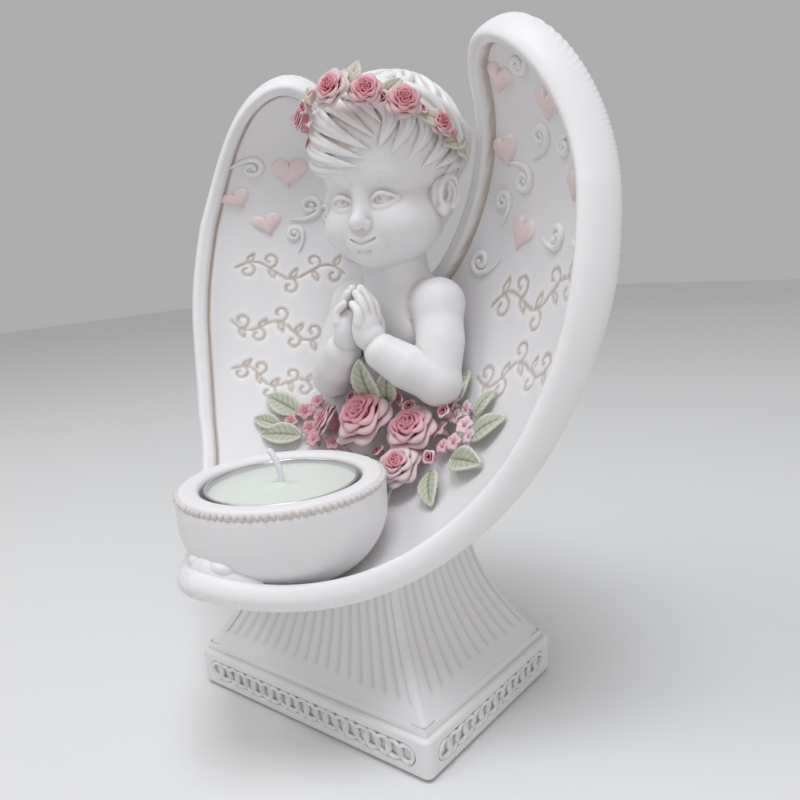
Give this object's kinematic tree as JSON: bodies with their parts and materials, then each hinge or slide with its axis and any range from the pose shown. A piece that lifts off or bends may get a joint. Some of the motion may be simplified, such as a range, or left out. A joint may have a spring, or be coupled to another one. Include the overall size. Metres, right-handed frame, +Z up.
{
  "type": "cherub tealight holder figurine",
  "caption": "Praying winged cherub in a curved wing shell with a round tealight cup, on a flared fluted pedestal and a square plinth.",
  "frame": {"origin": "centre of the felt sheet's underside, where the figurine rests", "axes": "+Z up; the cherub faces -Y; +X is to the cherub's left, the viewer's right"},
  "size_m": [0.146, 0.1046, 0.177],
  "materials": {
    "cast_resin": "matte ivory polyresin with a tan antique wash in the hollows",
    "pink_paint": "hand painted pink, deep pink at the hearts and pale at the rims",
    "green_paint": "hand painted pale sage green, worn to ivory on the edges",
    "pearl_pink_paint": "pale pearly pink, slightly glossy",
    "felt": "pale felt sheet glued on",
    "foil": "thin drawn aluminium",
    "candle_wax": "greenish white paraffin wax, satin",
    "wick_cotton": "waxed white cotton"
  },
  "bodies": {
    "figurine": {"felt_base": "felt", "plinth": "cast_resin", "plinth_ornament": "cast_resin", "pedestal": "cast_resin", "left_wing": "cast_resin", "right_wing": "cast_resin", "candle_holder": "cast_resin", "bead_ring": "cast_resin", "front_scroll": "cast_resin", "torso": "cast_resin", "left_arm": "cast_resin", "right_arm": "cast_resin", "head": "cast_resin", "hair": "cast_resin", "crown_roses": "pink_paint", "crown_buds": "pink_paint", "crown_leaves": "green_paint", "rose_centre": "pink_paint", "rose_right": "pink_paint", "rose_lower": "pink_paint", "rose_left": "pink_paint", "bouquet_buds": "pink_paint", "bouquet_leaves": "green_paint", "bouquet_blossoms": "pink_paint", "left_hearts": "pearl_pink_paint", "right_hearts": "pearl_pink_paint", "left_scrolls": "cast_resin", "right_scrolls": "cast_resin"},
    "tealight": {"tealight_cup": "foil"},
    "candle": {"wax": "candle_wax", "wick_clip": "foil", "wick": "wick_cotton"}
  },
  "joints": [
    {"name": "tealight_lift", "type": "slide", "parent": "figurine", "child": "tealight", "axis": [0, 0, 1], "range_m": [0, 0.04]},
    {"name": "candle_lift", "type": "slide", "parent": "tealight", "child": "candle", "axis": [0, 0, 1], "range_m": [0, 0.03]}
  ]
}
